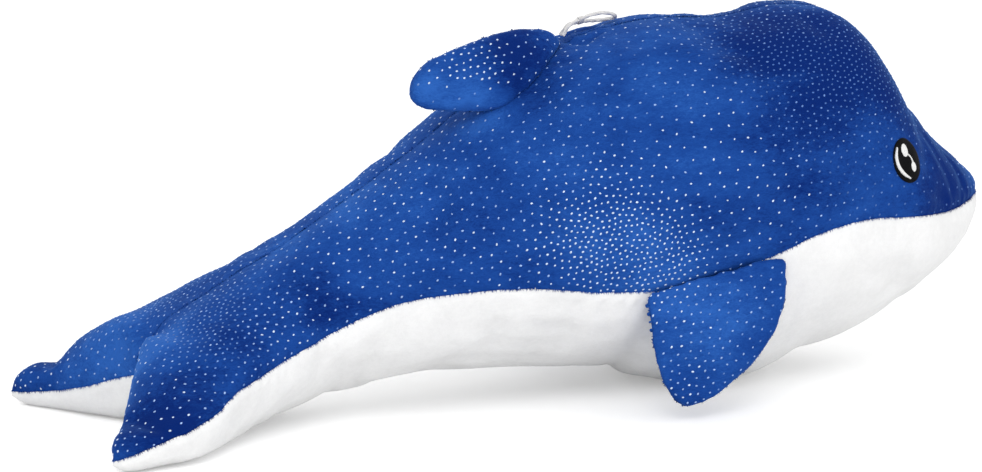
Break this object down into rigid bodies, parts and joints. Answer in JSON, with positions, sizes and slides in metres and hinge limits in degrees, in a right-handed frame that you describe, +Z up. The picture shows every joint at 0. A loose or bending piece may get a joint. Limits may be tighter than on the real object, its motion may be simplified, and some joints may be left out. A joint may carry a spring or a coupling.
{
  "type": "plush dolphin",
  "caption": "Stuffed soft dolphin lying on its belly, with a blue back, a white belly, spread tail flukes, stuffed fins and a hanging loop.",
  "frame": {"origin": "under the middle of the bounding box, on the surface that the toy lies on", "axes": "+X towards the beak, +Y to the dolphin's left, +Z up"},
  "size_m": [0.602, 0.2239, 0.2288],
  "materials": {
    "blue_plush": "short blue pile with rows of small foil dots",
    "white_plush": "short soft white pile",
    "fibre_filling": "loose polyester fibre",
    "black_thread": "black satin-stitch embroidery",
    "white_thread": "white satin-stitch embroidery",
    "loop_cord": "pale grey round cord"
  },
  "bodies": {
    "root": {"back_panel_left": "blue_plush", "back_panel_right": "blue_plush", "belly_panel": "white_plush", "body_filling": "fibre_filling", "dorsal_fin_left_panel": "blue_plush", "dorsal_fin_right_panel": "blue_plush", "dorsal_fin_filling": "fibre_filling", "pectoral_fin_left_outer_panel": "blue_plush", "pectoral_fin_left_inner_panel": "blue_plush", "pectoral_fin_left_filling": "fibre_filling", "pectoral_fin_right_outer_panel": "blue_plush", "pectoral_fin_right_inner_panel": "blue_plush", "pectoral_fin_right_filling": "fibre_filling", "eye_left": "black_thread", "eye_left_glint_1": "white_thread", "eye_left_glint_2": "white_thread", "eye_right": "black_thread", "eye_right_glint_1": "white_thread", "eye_right_glint_2": "white_thread", "hang_loop": "loop_cord", "loop_binding": "loop_cord"}
  },
  "joints": []
}
